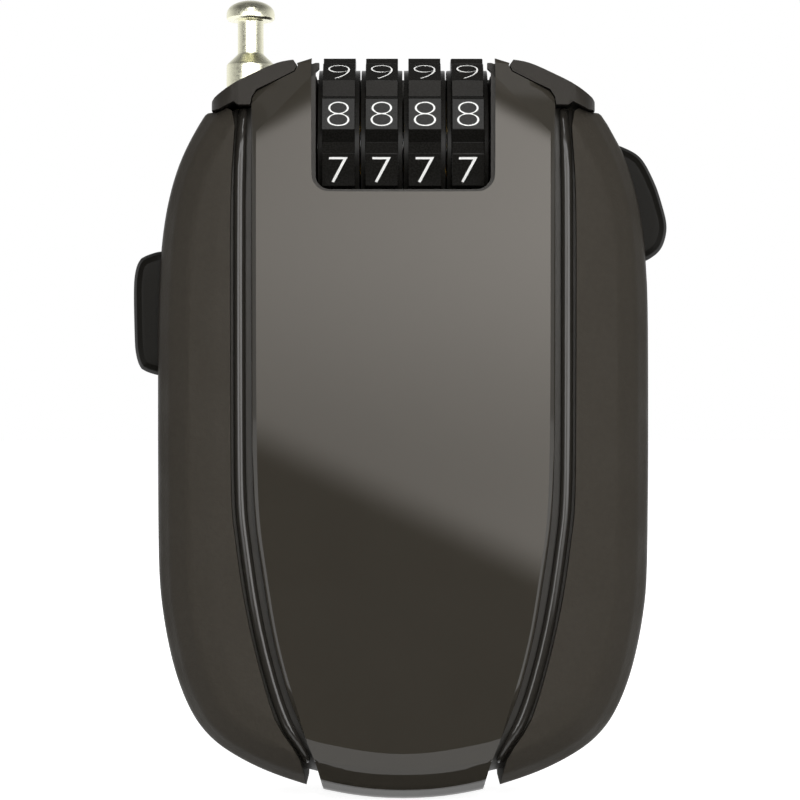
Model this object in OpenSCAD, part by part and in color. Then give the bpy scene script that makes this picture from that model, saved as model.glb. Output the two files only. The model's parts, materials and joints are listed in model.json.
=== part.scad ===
// Retractable combination cable lock with four number wheels.
// Upright, front face towards -Y, origin at the middle of the base.

/* [Case] */
// Half width of the case at its widest
case_half_w = 30.5; // [30.3:0.1:30.7]
// Half depth of the case over the front panel
case_half_d = 13; // [13:0.1:13.4]
// Half depth of the case over the side grips
grip_half_d = 12.2; // [12.1:0.1:12.4]
// Thickness of the side grips
grip_t = 2; // [1.9:0.1:2]
// Wall thickness of the two covers
wall = 1.6; // [1.5:0.1:1.6]
// Radius of the rounded outer edge
edge_r = 7; // [6:0.5:7]

/* [Number wheels] */
// Distance from one wheel to the next
wheel_pitch = 5.3; // [5.3:0.05:5.4]
// Radius over the digit pads
wheel_r = 11.25; // [11:0.05:11.3]
// Radius of the wheel's plain shoulders
shoulder_r = 9.7; // [9.5:0.1:9.8]
// Width of a digit pad
pad_w = 4; // [3.6:0.1:4.2]

/* [Cable and bolt] */
// Diameter of the sheathed steel cable
cable_d = 2.2; // [2:0.1:2.3]
// Diameter of the bolt's head and collar
bolt_d = 6.1; // [6:0.1:6.2]
// Diameter of the bolt's neck
neck_d = 3.25; // [3:0.05:3.3]
// Distance of the bolt holes from the middle
bolt_x = 19.25; // [19.2:0.05:19.3]

/* [Reel] */
// Radius of the reel's flanges
flange_r = 24.2; // [23.8:0.1:24.2]
// Turns in the outer layer of cable
outer_turns = 1.5; // [1:0.5:1.5]

/* [Hidden] */
$fn = 64;
eps = 0.01;
far = 60;               // longer than any cut through the case

gloss = [0.27, 0.25, 0.23];
grip_col = [0.20, 0.185, 0.16];
black = [0.07, 0.07, 0.07];
steel = [0.78, 0.77, 0.70];
brass = [0.75, 0.62, 0.32];
zinc = [0.62, 0.63, 0.64];

cover_half_d = grip_half_d - wall;           // outer face of the covers under the grips
cavity_half_d = cover_half_d - wall;
inner_inset = grip_t + wall;
wheel_z = 81.3;                              // height of the wheels' axis
reel_z = 38;                                 // height of the reel's axis
slot_half_w = 10.75;                         // wheel slot, inside the bevel
slot_bottom = 75.3;
slot_corner_r = 1.75;
tip_z = 89.7;                                // the slot's upper ends lean in above this height
tip_w = 0.45;
cage_t = 1.2;
gap = 0.3;

// Right half of each outline in the front view, x and height
case_side = [[4, 0], [12.25, 1.75], [19.6, 4.6], [25.2, 8.9], [28.7, 17], [case_half_w - 0.05, 28.4],
    [case_half_w, 42], [case_half_w, 59], [29.6, 72.5], [27.2, 80.5], [23.9, 86]];
case_steps = [3, 3, 3, 4, 3, 1, 1, 3, 2, 2];
panel_side = [[9.6, 0.2], [10.6, 4.9], [12.3, 9.2], [14.3, 14.4], [16, 21], [17.3, 29], [18.15, 36],
    [18.5, 48], [18.5, 66], [18.5, 85.4]];
grip_side = [[11.9, 0.5], [12.7, 5.5], [15.7, 10.6], [18.1, 18.8], [19.6, 26], [20.5, 32.5], [21, 38],
    [21.1, 55], [21.1, 73], [20.6, 83], [20.3, 88]];
cap_top = [[13.4, 90.95], [14.7, 90.75], [16.1, 90.3], [18.3, 89.3], [20.5, 88.2], [22.5, 86.95],
    [23.5, 86.1], [23.55, 85]];
cap_under = [[22.6, 85.05], [20.7, 85.9], [20.1, 85.5], [18.65, 85.5], [18.45, 86.5], [17.9, 87.35],
    [16.1, 88.2], [13.3, 89.6], [12.95, 90.3]];
cover_top = [[24.5, 84.9], [18.55, 85.4], [18.3, 86.4], [17.8, 87.25], [16, 88.1], [13.2, 89.5],
    [12.85, 90.2], [slot_half_w, 90.8]];

// Smooth curve through a list of points, with steps between each two: one number, or one for each stretch
function knot(p, i) = p[max(0, min(len(p) - 1, i))];
function curve(p, steps) = concat([for (i = [0:len(p) - 2]) let (n = is_list(steps) ? steps[i] : steps)
    for (s = [0:n - 1]) let (t = s / n, a = knot(p, i - 1), b = p[i], c = p[i + 1], d = knot(p, i + 2))
    0.5 * (2 * b + (c - a) * t + (2 * a - 5 * b + 4 * c - d) * t * t
        + (3 * b - a - 3 * c + d) * t * t * t)], [p[len(p) - 1]]);
function mirrored(p) = [for (i = [len(p) - 1:-1:0]) [-p[i].x, p[i].y]];

// Extrudes a front view outline from y0 to y1
module front_extrude(y0, y1) {
    translate([0, y1, 0]) rotate([90, 0, 0]) linear_extrude(y1 - y0) children();
}

module along_y(y0, y1, r, x = 0, z = 0) {
    translate([x, y1, z]) rotate([90, 0, 0]) cylinder(h = y1 - y0, r = r);
}

module along_x(x0, x1, r, y = 0, z = 0) {
    translate([x0, y, z]) rotate([0, 90, 0]) cylinder(h = x1 - x0, r = r);
}

module block(lo, hi) {
    translate(lo) cube(hi - lo);
}

// Case outline; it runs on upwards past the shoulders, where the caps cut it
function case_points() = let (right = concat(curve(case_side, case_steps), [[11, 99]]))
    concat(right, mirrored(right));

// Outline moved inwards by d, square to its edges
function turned(v) = [v.y, -v.x] / norm(v);
function inset_points(p, d) = [for (i = [0:len(p) - 1]) let (n = len(p),
    before = turned(p[i] - p[(i + n - 1) % n]), after = turned(p[(i + 1) % n] - p[i]))
    p[i] - d * (before + after) / (1 + before * after)];

module panel_outline() {
    right = concat([[0, -1], [9, -1]], curve(panel_side, 3), [[18.45, 86.45], [17.9, 87.25], [16, 88.1],
        [13.2, 89.5], [12.85, 90.2], [12.95, 90.55], [11.2, 91.1]]);
    polygon(concat(right, mirrored(right)));
}

// Depth and inset of each ring over the rounded front edge, and over both edges
function edge_levels(half_d, r, inset) =
    [for (a = [90, 66, 42, 20, 0]) [-(half_d - r + r * sin(a)), inset + r * (1 - cos(a))]];
function back_of(levels) = [for (i = [len(levels) - 1:-1:0]) [-levels[i][0], levels[i][1]]];

// Rounded solid of the case, lofted through insets of the outline from front to back
module loft(levels) {
    outline = case_points();
    n = len(outline);
    last = len(levels) - 1;
    points = [for (l = levels) each [for (p = inset_points(outline, l[1])) [p.x, l[0], p.y]]];
    polyhedron(points, concat([[for (i = [n - 1:-1:0]) i]], [[for (i = [0:n - 1]) last * n + i]],
        [for (k = [0:last - 1]) for (i = [0:n - 1]) let (j = (i + 1) % n, a = k * n, b = a + n) each [
            [a + i, b + j, b + i], [a + i, a + j, b + j]]]));
}

module pillow(half_d, r, inset) {
    front = edge_levels(half_d, r, inset);
    loft(concat(front, back_of(front)));
}

// Front (side -1) or back (side 1) half, running past the parting plane by the given length
module half_pillow(side, half_d, r, inset, past = 0) {
    front = edge_levels(half_d, r, inset);
    loft(side < 0 ? concat(front, [[past, inset]]) : concat([[-past, inset]], back_of(front)));
}

module inner_skin(side) {
    half_pillow(side, cover_half_d, edge_r - grip_t, grip_t);
}

module cavity(side) {
    intersection() {
        half_pillow(side, cavity_half_d, edge_r - inner_inset, inner_inset, 1);
        front_extrude(-far, far) polygon([[-far, -1], [far, -1], [far, 83], [18, 83.4], [16, 86.4],
            [13.3, 87.8], [-13.3, 87.8], [-16, 86.4], [-18, 83.4], [-far, 83]]);
    }
}

module top_profile() {
    polygon(concat([[-far, -1], [far, -1], [far, 84.9]], cover_top, mirrored(cover_top), [[-far, 84.9]]));
}

function arc(x, z, r, a0, a1, steps = 6) =
    [for (i = [0:steps]) let (a = a0 + (a1 - a0) * i / steps) [x + r * cos(a), z + r * sin(a)]];

// Outline of the wheel slot, open at the top between two tips; grow widens it for the bevel
module slot_outline(grow = 0) {
    w = slot_half_w + grow;
    r = slot_corner_r + grow;
    zb = slot_bottom - grow;
    tip = [[w, tip_z], [w - tip_w, tip_z + tip_w], [w - tip_w, 99]];
    right = concat(arc(w - r, zb + r, r, 270, 360), tip);
    polygon(concat(right, mirrored(right)));
}

// Panel with bevelled edges, not yet hollowed
module panel_body() {
    bevel = 0.6;
    intersection() {
        half_pillow(-1, case_half_d, edge_r, 0);
        hull() {
            front_extrude(-case_half_d + bevel, 0) panel_outline();
            front_extrude(-case_half_d - eps, 0) offset(delta = -bevel) panel_outline();
        }
        // The hull bridges the notch under the shoulder caps, so the outline is cut again
        front_extrude(-far, far) panel_outline();
    }
}

module slot_cut() {
    bevel = 0.45;
    front_extrude(-far, 0) slot_outline();
    hull() {
        front_extrude(-case_half_d + bevel, 0) slot_outline();
        front_extrude(-case_half_d - eps, 0) slot_outline(bevel);
    }
}

// Places of the parts that the covers carry
screw_at = [[-15, 65], [15, 65], [-8.5, 8.5], [8.5, 8.5]];
lever_at = [-22, 59];
release_at = [28.8, 74.1];
rewind_at = [-30.5, 60.3];
release_tilt = 13.8;
release_half = 7.35;
rewind_half = 7.75;
button_half_d = 5;
sleeve_r = 4;
sleeve_top = 84.85;

module at_release() {
    translate([release_at.x, 0, release_at.y]) rotate([0, -release_tilt, 0]) children();
}

module at_rewind() {
    translate([rewind_at.x, 0, rewind_at.y]) rotate([0, 0, 180]) children();
}

// Openings that pass through covers and grips: both buttons and both bolt sleeves
module shared_cuts() {
    g = 0.2;
    half_d = button_half_d + g;
    at_release() block([-6, -half_d, -release_half - g], [6, half_d, release_half + g]);
    at_rewind() block([-6, -half_d, -rewind_half - g], [6, half_d, rewind_half + g]);
    for (side = [-1, 1]) translate([side * bolt_x, 0, 70]) cylinder(h = 30, r = sleeve_r + 0.05);
}

// Room for the wheels and their cage; the slot opens at the front and top, and the back stays closed
module wheel_bay() {
    half_w = slot_half_w + cage_t + 0.1;
    block([-half_w, -cavity_half_d, 67.5], [half_w, cavity_half_d, 99]);
    front_extrude(-far, 0) slot_outline();
    along_x(-slot_half_w, slot_half_w, wheel_r + gap, 0, wheel_z);
}

module cover_shell(side) {
    difference() {
        intersection() {
            inner_skin(side);
            front_extrude(-far, far) top_profile();
        }
        cavity(side);
    }
}

screw_shaft_r = 1;
screw_head_r = 2.1;
screw_head_y = 11.2;
boss_r = 2.5;
axle_r = 2.5;
axle_half = cavity_half_d + 0.6;
pin_r = 1;

module front_cover() color(black) {
    difference() {
        union() {
            cover_shell(-1);
            for (p = screw_at) along_y(-cavity_half_d - eps, 0, boss_r, p.x, p.y);
            along_y(-cavity_half_d - eps, -6.8, 2, lever_at.x, lever_at.y);
            along_y(-cavity_half_d - eps, -7.6, 4.5, 0, reel_z);
        }
        shared_cuts();
        wheel_bay();
        for (p = screw_at) along_y(-8, eps, screw_shaft_r, p.x, p.y);
        along_y(-axle_half, 0, axle_r, 0, reel_z);
        along_y(-9.4, -6, pin_r, lever_at.x, lever_at.y);
    }
}

slider_z = 62;
slider_y = 11.4;

module back_cover() color(black) {
    difference() {
        union() {
            cover_shell(1);
            difference() {
                mirror([0, 1, 0]) panel_body();
                inner_skin(1);
            }
            for (p = screw_at) along_y(0, cavity_half_d + eps, boss_r, p.x, p.y);
            along_y(8.75, cavity_half_d + eps, 4.5, 0, reel_z);
            // Post that the rewind button's spring bears on
            block([-22.4, 0, 55], [-21.4, cavity_half_d + eps, 59.4]);
        }
        shared_cuts();
        wheel_bay();
        for (p = screw_at) {
            along_y(-eps, far, screw_shaft_r + 0.15, p.x, p.y);
            along_y(screw_head_y, far, screw_head_r + 0.2, p.x, p.y);
        }
        along_y(0, axle_half, axle_r, 0, reel_z);
        block([-4.8, slider_y, slider_z - 2.2], [4.8, far, slider_z + 2.2]);
    }
}

module front_panel() color(gloss) {
    difference() {
        panel_body();
        inner_skin(-1);
        slot_cut();
        front_extrude(-cover_half_d, far) block_2d([-20, 70], [20, 99]);
    }
}

module block_2d(lo, hi) {
    translate(lo) square(hi - lo);
}

// Right grip: a shell that wraps round the side from front to back
module side_grip() {
    right = concat(curve(grip_side, 3), [[21, 84.95], [21.6, 85.3], [22.6, 84.9], [24.3, 84.9]]);
    difference() {
        intersection() {
            pillow(grip_half_d, edge_r, 0);
            front_extrude(-far, far) polygon(concat([for (p = right) if (p.y < 84.96 || p.x > 21.5) p],
                [[40, 84.9], [40, -5], [11.9, -5]]));
        }
        pillow(cover_half_d, edge_r - grip_t, grip_t);
    }
}

module left_grip() color(grip_col) difference() {
    mirror([1, 0, 0]) side_grip();
    shared_cuts();
}

module right_grip() color(grip_col) difference() {
    side_grip();
    shared_cuts();
}

// Distance of a point inside the case outline from its nearest edge
function edge_distance(p) = let (c = case_points(), n = len(c))
    min([for (i = [0:n - 1]) (c[i] - p) * turned(c[(i + 1) % n] - c[i])]);

// Depth of the covers' skin at a point of the front view
function skin_depth(p) = let (r = edge_r - grip_t, d = min(r, max(0, edge_distance(p) - grip_t)))
    cover_half_d - r + sqrt(r * r - (r - d) * (r - d));

// Rail in the channel: share of the way from panel to grip, and the air left beside and under it
rail_share = 0.6;
rail_bottom = 4.5;
rail_air = 0.12;
rail_lift = 0.14;
rail_steps = [5, 5, 5, 4, 4, 4, 3, 2, 12];
grip_edge = [for (g = curve(grip_side, 5)) [g.y, g.x]];
rail_base = [for (p = curve(panel_side, rail_steps)) if (p.y > rail_bottom) p];
channel = [for (p = rail_base) lookup(p.y, grip_edge) - p.x];
rail_path = [for (i = [0:len(channel) - 1]) rail_base[i] + [rail_share * channel[i], 0]];

// Gloss strip in the channel: a half round rail, each point on the skin's own depth there
module side_trim() {
    n = len(rail_path);
    sides = 6;
    widest = 0.85;
    rise = 1;
    room = min(rail_share, 1 - rail_share);
    points = [for (i = [0:n - 1]) let (d = knot(rail_path, i + 1) - knot(rail_path, i - 1),
        u = d / norm(d),
        half_w = min(widest, room * channel[i] * abs(u.y) - rail_air))
        each [for (s = [0:sides]) let (a = 180 * s / sides,
            p = rail_path[i] + half_w * cos(a) * [u.y, -u.x])
            [p.x, -skin_depth(p) - rail_lift - rise * sin(a), p.y]]];
    m = sides + 1;
    polyhedron(points, concat([[for (s = [0:sides]) s]], [[for (s = [sides:-1:0]) (n - 1) * m + s]],
        [for (i = [0:n - 2]) for (s = [0:sides]) let (t = (s + 1) % m)
            each [[i * m + s, (i + 1) * m + s, (i + 1) * m + t], [i * m + s, (i + 1) * m + t, i * m + t]]]));
}

module left_trim() color(gloss) mirror([1, 0, 0]) side_trim();

module right_trim() color(gloss) side_trim();

// Shoulder cap: an arched plate with the hole for the bolt
cap_half_d = 12.5;
cap_corner_r = 3.5;

module shoulder_cap() {
    difference() {
        intersection() {
            front_extrude(-cap_half_d, cap_half_d) polygon(concat(curve(cap_top, 2), cap_under));
            translate([0, 0, 80]) linear_extrude(20) union() {
                square([2 * (23.55 - cap_corner_r), 2 * cap_half_d], center = true);
                square([2 * 23.55, 2 * (cap_half_d - cap_corner_r)], center = true);
                for (side = [-1, 1]) translate([23.55 - cap_corner_r, side * (cap_half_d - cap_corner_r)])
                    circle(cap_corner_r);
            }
        }
        translate([bolt_x, 0, 80]) cylinder(h = 20, r = bolt_d / 2 + 0.75);
    }
}

module left_cap() color(black) mirror([1, 0, 0]) shoulder_cap();

module right_cap() color(black) shoulder_cap();

bolt_hole_r = bolt_d / 2 + 0.2;
bush_bottom = 76;
bush_floor = 77.6;
socket_bottom = 71.3;
socket_floor = 72.3;
chamber_bore_r = 3.6;
tooth_z = 76.3;
tooth_h = 2.4;
chamber_top = tooth_z + tooth_h + 0.2;

// Steel bush in the left shoulder; its lip stops the bolt
module outlet_bush() color(steel) {
    translate([-bolt_x, 0, 0]) difference() {
        translate([0, 0, bush_bottom]) cylinder(h = sleeve_top - bush_bottom, r = sleeve_r);
        translate([0, 0, bush_floor]) cylinder(h = far, r = bolt_hole_r);
        cylinder(h = far * 2, r = cable_d / 2 + 0.25);
    }
}

// Steel socket in the right shoulder: a guide bore, and a wider chamber under it
// where the latch tooth enters through a side slot
module bolt_socket() color(steel) {
    translate([bolt_x, 0, 0]) difference() {
        translate([0, 0, socket_bottom]) cylinder(h = sleeve_top - socket_bottom, r = sleeve_r);
        translate([0, 0, socket_floor]) cylinder(h = far, r = bolt_hole_r);
        translate([0, 0, socket_floor]) cylinder(h = chamber_top - socket_floor, r = chamber_bore_r);
        block([-far, -2.8, tooth_z - 0.2], [0, 2.8, chamber_top]);
    }
}

spindle_r = 2;
cage_half_d = 8.8;
cage_bottom = 67.6;
bridge_top = 68.9;
cage_top = 89.6;
spring_y = 5.8;
spring_z = 69.3;

// U shaped cage: two bearing plates joined under the wheels
module wheel_cage() color(black) {
    difference() {
        union() {
            for (side = [-1, 1]) {
                x0 = side > 0 ? slot_half_w : -slot_half_w - cage_t;
                block([x0, -cage_half_d, cage_bottom], [x0 + cage_t, cage_half_d, cage_top - 2.5]);
                block([x0, -cage_half_d + 2.5, cage_bottom], [x0 + cage_t, cage_half_d - 2.5, cage_top]);
                for (s = [-1, 1]) along_x(x0, x0 + cage_t, 2.5, s * (cage_half_d - 2.5), cage_top - 2.5);
            }
            block([-slot_half_w - cage_t, -cage_half_d, cage_bottom],
                [slot_half_w + cage_t, cage_half_d, bridge_top]);
            block([3.6, 4.2, cage_bottom], [5, 7.4, spring_z + 1.2]);
        }
        along_x(-far, far, spindle_r + 0.05, 0, wheel_z);
        // The latch slide's foot and the end of its spring pass here
        along_x(5, far, 1.6, spring_y, spring_z);
    }
}

// Leaf spring with a finger under each wheel; the finger tips lie in the pad grooves
module detent_spring() color(steel) {
    leaf = 0.3;
    finger_w = 3.2;
    for (i = [0:3]) translate([wheel_x(i) - finger_w / 2, 0, bridge_top]) rotate([90, 0, 90])
        linear_extrude(finger_w) polygon([[-6.5, 0], [1.2, 0], [2.7, 0.9], [3.2, 2.25], [4, 1], [4.2, 1.15],
            [3.3, 2.7], [3.1, 2.7], [2.4, 1.2], [1.1, leaf], [-6.5, leaf]]);
    block([-9.8, -6.5, bridge_top], [9.8, -4, bridge_top + leaf]);
}

function wheel_x(i) = (i - 1.5) * wheel_pitch;

digits = 10;
pad_half_angle = 10.4;
groove_r = 9.9;
wheel_w = 5.1;
key_w = 1.1;
key_r = 6.6;
bore_r = 5.95;
// Angle of the shown digit above the horizontal, seen from the front
reading_angle = 17;

// One wheel: ten flat digit pads with V grooves between, on a plain shouldered ring
module number_wheel(i) color(black) {
    step = 360 / digits;
    translate([wheel_x(i), 0, wheel_z]) rotate([90, 0, 90]) difference() {
        union() {
            translate([0, 0, -wheel_w / 2]) cylinder(h = wheel_w, r = shoulder_r);
            translate([0, 0, -pad_w / 2]) linear_extrude(pad_w) polygon([for (k = [0:digits - 1])
                let (mid = 180 - reading_angle + k * step) each [
                    for (a = [mid - pad_half_angle, mid + pad_half_angle]) wheel_r * [cos(a), sin(a)],
                    groove_r * [cos(mid + step / 2), sin(mid + step / 2)]]]);
        }
        translate([0, 0, -wheel_w]) cylinder(h = 2 * wheel_w, r = bore_r);
        translate([0, 0, -wheel_w]) linear_extrude(2 * wheel_w) for (k = [0:digits - 1])
            rotate(k * step + 90) translate([0, -key_w / 2]) square([key_r, key_w]);
    }
}

gate_plate_t = 0.6;
chamber_r = 3.7;
fin_r = 3.35;
fin_w = 1.2;

// Ring inside a wheel; its thin gate plate stops the spindle's fin unless the code is set
module code_sleeve(i) color(brass) {
    outer_r = bore_r - 0.05;
    translate([wheel_x(i), 0, wheel_z]) rotate([90, 0, 90]) difference() {
        union() {
            translate([0, 0, -wheel_w / 2]) cylinder(h = wheel_w, r = outer_r);
            translate([0, 0, -wheel_w / 2 + 0.3]) linear_extrude(wheel_w - 0.6) rotate(90)
                translate([0, -key_w / 2 + 0.08]) square([key_r - 0.1, key_w - 0.16]);
        }
        for (s = [-1, 1]) translate([0, 0, s > 0 ? gate_plate_t / 2 : -wheel_w]) cylinder(h = wheel_w
            - gate_plate_t / 2, r = chamber_r);
        translate([0, 0, -wheel_w]) cylinder(h = 2 * wheel_w, r = spindle_r + 0.05);
        translate([0, 0, -wheel_w]) linear_extrude(2 * wheel_w) rotate(90)
            translate([0, -fin_w / 2 - 0.15]) square([chamber_r - 0.1, fin_w + 0.3]);
    }
}

plate_x = 13.7;
plate_t = 1.3;
plate_top = 83.8;
foot_z = [67.9, 70.7];
fin_x = gate_plate_t / 2 + 0.2;

// Shaft through the wheels with one fin for each sleeve
module spindle() color(zinc) {
    union() {
        along_x(-13.2, plate_x, spindle_r, 0, wheel_z);
        along_x(plate_x - eps, plate_x + plate_t, 1.5, 0, wheel_z);
        for (i = [0:3]) block([wheel_x(i) + fin_x, -fin_w / 2, wheel_z], [wheel_x(i) + fin_x + gate_plate_t,
            fin_w / 2, wheel_z + fin_r]);
    }
}

// Stamped plate on the spindle's end: tooth into the socket, foot out to the release button
module latch_slide() color(zinc) {
    tooth_tip = bolt_x - neck_d / 2 - 0.2;
    difference() {
        union() {
            block([plate_x, -3, foot_z[0]], [plate_x + plate_t, 3, plate_top]);
            block([plate_x, -3, foot_z[0]], [plate_x + plate_t, 7.3, foot_z[1]]);
            block([plate_x, -2.5, foot_z[0]], [24.95, 2.5, foot_z[1]]);
            intersection() {
                block([plate_x, -2.6, tooth_z], [tooth_tip + 1.2, 2.6, tooth_z + tooth_h]);
                translate([bolt_x - bolt_hole_r - 6, 0, 0]) cylinder(h = 2 * far, r = tooth_tip - bolt_x
                    + bolt_hole_r + 6);
            }
        }
        along_x(0, far, 1.5, 0, wheel_z);
        translate([bolt_x, 0, 0]) cylinder(h = 2 * far, r = 0.01 + neck_d / 2 + 0.15);
    }
}

// Helical compression spring along X
module coil_spring(length, r, wire_r, turns, rings = 12) {
    sides = 6;
    n = turns * rings;
    function centre(t) = [wire_r + (length - 2 * wire_r) * t / n, r * cos(360 * t / rings),
        r * sin(360 * t / rings)];
    points = [for (t = [0:n]) let (c = centre(t), radial = [0, c.y, c.z] / r)
        each [for (s = [0:sides - 1]) c + wire_r * (cos(360 * s / sides) * radial
            + [sin(360 * s / sides), 0, 0])]];
    polyhedron(points, concat([[for (s = [sides - 1:-1:0]) s]], [[for (s = [0:sides - 1]) n * sides + s]],
        [for (t = [0:n - 1]) for (s = [0:sides - 1]) let (a = t * sides + s, b = t * sides + (s + 1) % sides)
            each [[a, b, b + sides], [a, b + sides, a + sides]]]));
}

module latch_spring() color(steel) translate([5.05, spring_y, spring_z])
    coil_spring(plate_x - 5.1, 1.1, 0.2, 7);

// Button: rounded outer face from a profile of height and place along it, hollow behind
module push_button(profile, half, lugs) {
    skirt = -3.4;
    roof = 1.2;
    side = 3.8;
    rounded = concat(curve(profile, 3), [[skirt, -half], [skirt, half]]);
    difference() {
        hull() for (level = [[button_half_d, 1.1], [button_half_d - 0.35, 0.45], [button_half_d - 1.2, 0]])
            front_extrude(-level[0], level[0]) offset(delta = -level[1]) polygon(rounded);
        block([-far, -side, -half + 1.2], [roof, side, half - 1.2]);
        block([-far, -side, -half - 1], [-1, side, half + 1]);
    }
    // Lugs behind the case wall keep the button in
    for (s = lugs) {
        block([-4.9, s > 0 ? side : -side - 2.3, -half + 2.2],
            [-4.1, s > 0 ? side + 2.3 : -side, half - 2.2]);
        block([-4.2, s > 0 ? side : -button_half_d + 0.05, -half + 2.4],
            [-2, s > 0 ? button_half_d - 0.05 : -side, half - 2.4]);
    }
}

release_profile = [[0, 7.35], [2.15, 5.4], [3.1, 1.95], [3.35, -0.7], [3.3, -3.9], [1.95, -6.4],
    [0, -7.35]];
rewind_profile = [[0, 7.75], [2.2, 6.9], [3, 5], [3.15, 2], [3.05, -2], [2.95, -4.6], [2.2, -6.9],
    [0, -7.75]];

module release_button() color(black) at_release() {
    push_button(release_profile, release_half, [-1, 1]);
    block([-4.55, -1.5, -5], [1.3, 1.5, -3]);
}

module rewind_button() color(black) at_rewind() {
    push_button(rewind_profile, rewind_half, [-1]);
    // Plunger that meets the brake lever
    block([-6.95, 3.6, 5.3], [0, 4.95, 6.7]);
}

module rewind_spring() color(steel) translate([-31.6, 1.4, 57.2]) coil_spring(9.15, 1.6, 0.22, 6);

lever_y = [-6.5, -3.5];
arm_r = 1.1;
pad_t = 0.9;
pad_angle = 146.8;

module hull_bar(a, b, ra, rb) {
    front_extrude(lever_y[0], lever_y[1]) hull() {
        translate(a) circle(ra, $fn = 32);
        translate(b) circle(rb, $fn = 32);
    }
}

// Lever that holds the brake pad on the reel and lifts it when the rewind button is pressed
module brake_lever() color(steel) {
    difference() {
        union() {
            hull_bar(lever_at, [-22.2, 66], 1.9, arm_r);
            hull_bar(lever_at, [-21.7, 52.2], 1.9, 1.2);
        }
        along_y(-far, far, pin_r + 0.05, lever_at.x, lever_at.y);
        along_y(-far, far, flange_r + 0.05 + pad_t, 0, reel_z);
    }
}

module brake_pad() color([0.25, 0.13, 0.1]) {
    intersection() {
        difference() {
            along_y(-6.5, -5.3, flange_r + 0.05 + pad_t, 0, reel_z);
            along_y(-far, far, flange_r + 0.05, 0, reel_z);
        }
        front_extrude(-far, far) polygon([[0, reel_z], far * [cos(pad_angle + 3), sin(pad_angle + 3)]
            + [0, reel_z], far * [cos(pad_angle - 3), sin(pad_angle - 3)] + [0, reel_z]]);
    }
}

module lever_pin() color(steel) {
    along_y(-9.4, -3.3, pin_r, lever_at.x, lever_at.y);
    along_y(-3.4, -2.9, 1.7, lever_at.x, lever_at.y);
}

drum_r = 13;
drum_y = [-5.4, 4.6];
flange_t = 1;
hub_r = 4.4;
spokes = 5;

// Reel: front flange with round windows, drum and hub joined by spokes
module reel() color([0.16, 0.16, 0.17]) {
    difference() {
        union() {
            along_y(drum_y[0] - flange_t, drum_y[0], flange_r, 0, reel_z);
            along_y(drum_y[0] - eps, drum_y[1], drum_r, 0, reel_z);
        }
        difference() {
            along_y(drum_y[0] + 0.2, far, drum_r - 1.4, 0, reel_z);
            along_y(-far, far, hub_r, 0, reel_z);
            for (k = [0:spokes - 1]) translate([0, 0, reel_z])
                rotate([0, 360 * (k + 0.25) / spokes, 0])
                    block([0, drum_y[0] - 1, -0.6], [drum_r - 0.5, drum_y[1] + 1, 0.6]);
        }
        along_y(-far, far, axle_r + 0.05, 0, reel_z);
        for (k = [0:spokes - 1]) let (a = 360 * (k + 0.5) / spokes)
            along_y(-far, drum_y[0] + 0.5, 3.2, 18.4 * cos(a), reel_z + 18.4 * sin(a));
    }
}

cup_r = 17;
cup_end_y = 8.5;

// Back flange of the reel with the cup for the power spring
module reel_flange() color([0.16, 0.16, 0.17]) {
    difference() {
        union() {
            along_y(drum_y[1], drum_y[1] + flange_t, flange_r, 0, reel_z);
            along_y(drum_y[1] + flange_t - eps, cup_end_y, cup_r, 0, reel_z);
        }
        along_y(drum_y[1] + flange_t, far, cup_r - 1, 0, reel_z);
        along_y(-far, far, axle_r + 0.05, 0, reel_z);
    }
}

strip_t = 0.35;
spring_turns = 7;
strip_pitch = 1.65;

function spiral_at(r0, k, steps) = let (a = 360 * k / steps)
    (r0 + strip_pitch * k / steps) * [cos(a), sin(a)];

// Spiral power spring; its inner end sits in the axle's slot
module power_spring() color(steel) {
    steps = 16;
    n = spring_turns * steps;
    r0 = axle_r + 0.6;
    front_extrude(drum_y[1] + flange_t + 0.3, cup_end_y - 0.3) translate([0, reel_z])
        polygon(concat([for (k = [0:n]) spiral_at(r0 + strip_t, k, steps)],
            [for (k = [n:-1:1]) spiral_at(r0, k, steps)],
            [[r0, strip_t / 2], [0.4, strip_t / 2], [0.4, -strip_t / 2], [r0 + strip_t, -strip_t / 2]]));
}

module reel_axle() color(steel) {
    difference() {
        along_y(-axle_half, axle_half, axle_r, 0, reel_z);
        block([0.2, drum_y[1] + flange_t + 0.1, reel_z - 0.3], [axle_r + 1, cup_end_y, reel_z + 0.3]);
    }
}

// Cable on the reel: the inner layers as a plain ring, the outer layer as wound turns
winding_r = bolt_x;
module wound_cable() color(steel) {
    core_r = winding_r - cable_d / 2 - 0.25;
    rings = 24;
    sides = 6;
    lay = cable_d + 0.5;
    difference() {
        along_y(drum_y[0] + 0.1, drum_y[1] - 0.1, core_r, 0, reel_z);
        along_y(-far, far, drum_r + 0.05, 0, reel_z);
    }
    n = outer_turns * rings;
    points = [for (t = [0:n]) let (a = 180 + 360 * t / rings, u = [cos(a), 0, sin(a)])
        each [for (s = [0:sides - 1]) let (b = 360 * s / sides)
            [0, -lay * t / rings, reel_z] + u * (winding_r + cable_d / 2 * cos(b))
            + [0, cable_d / 2 * sin(b), 0]]];
    polyhedron(points, concat([[for (s = [0:sides - 1]) s]], [[for (s = [sides - 1:-1:0]) n * sides + s]],
        [for (t = [0:n - 1]) for (s = [0:sides - 1]) let (a = t * sides + s, b = t * sides + (s + 1) % sides)
            each [[b, a, b + sides], [b + sides, a, a + sides]]]));
}

bolt_foot = bush_floor + 1.7;
neck_bottom = 93.1;
head_bottom = 97.3;
head_top = 99.9;
crimp_depth = 6;

// Straight stretch from the reel into the bolt's foot
module cable_run() color(steel) {
    start = reel_z + 0.3;
    translate([-bolt_x, 0, start]) cylinder(h = bolt_foot + crimp_depth + 0.02 - start, r = cable_d / 2);
}

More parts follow.
